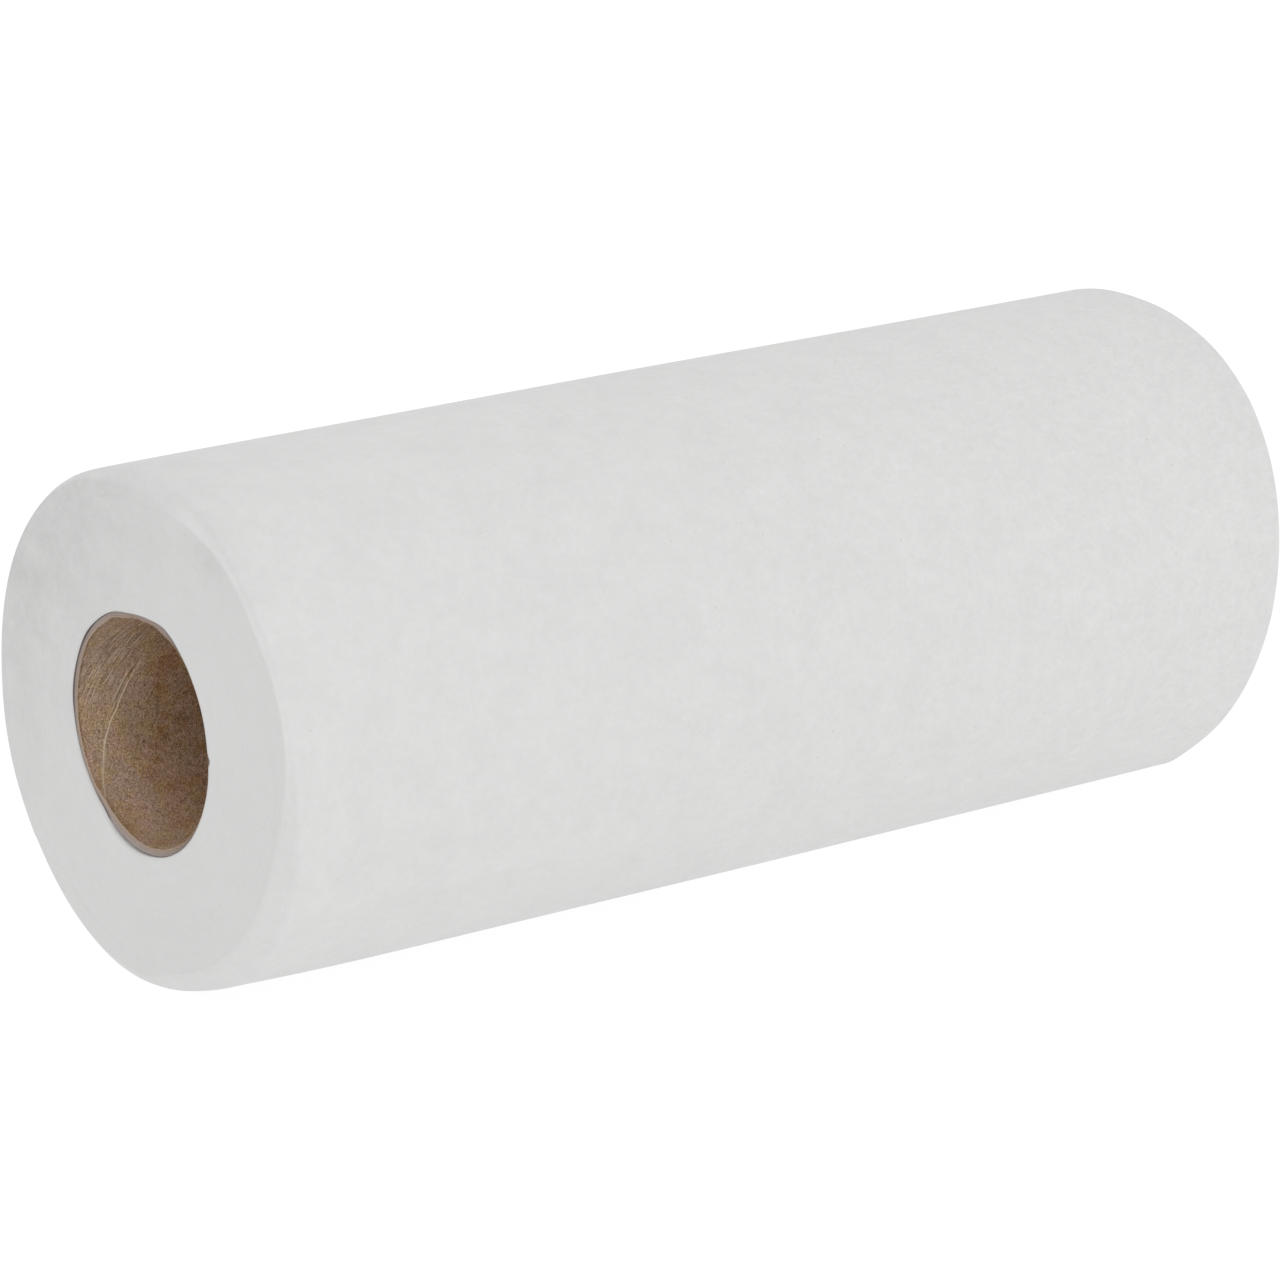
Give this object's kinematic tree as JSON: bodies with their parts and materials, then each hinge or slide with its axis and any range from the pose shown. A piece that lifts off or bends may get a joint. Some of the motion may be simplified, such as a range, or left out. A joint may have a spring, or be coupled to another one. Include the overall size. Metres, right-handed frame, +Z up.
{
  "type": "exam table paper roll",
  "caption": "Headrest-width roll of smooth white exam table paper wound on an open brown cardboard core, lying on its side.",
  "frame": {"origin": "middle of the roll's footprint, on the surface it lies on", "axes": "+X along the roll's axis and the core's bore, +Z up, the tail edge of the paper low on the +Y side"},
  "size_m": [0.216, 0.0896, 0.089],
  "materials": {
    "paper": "matt, smooth, fine fibre grain, soft rounded shoulders",
    "cardboard": "matt brown kraft board, spiral wound, paler cut edge"
  },
  "bodies": {
    "root": {"paper_roll": "paper", "core_tube": "cardboard"}
  },
  "joints": []
}
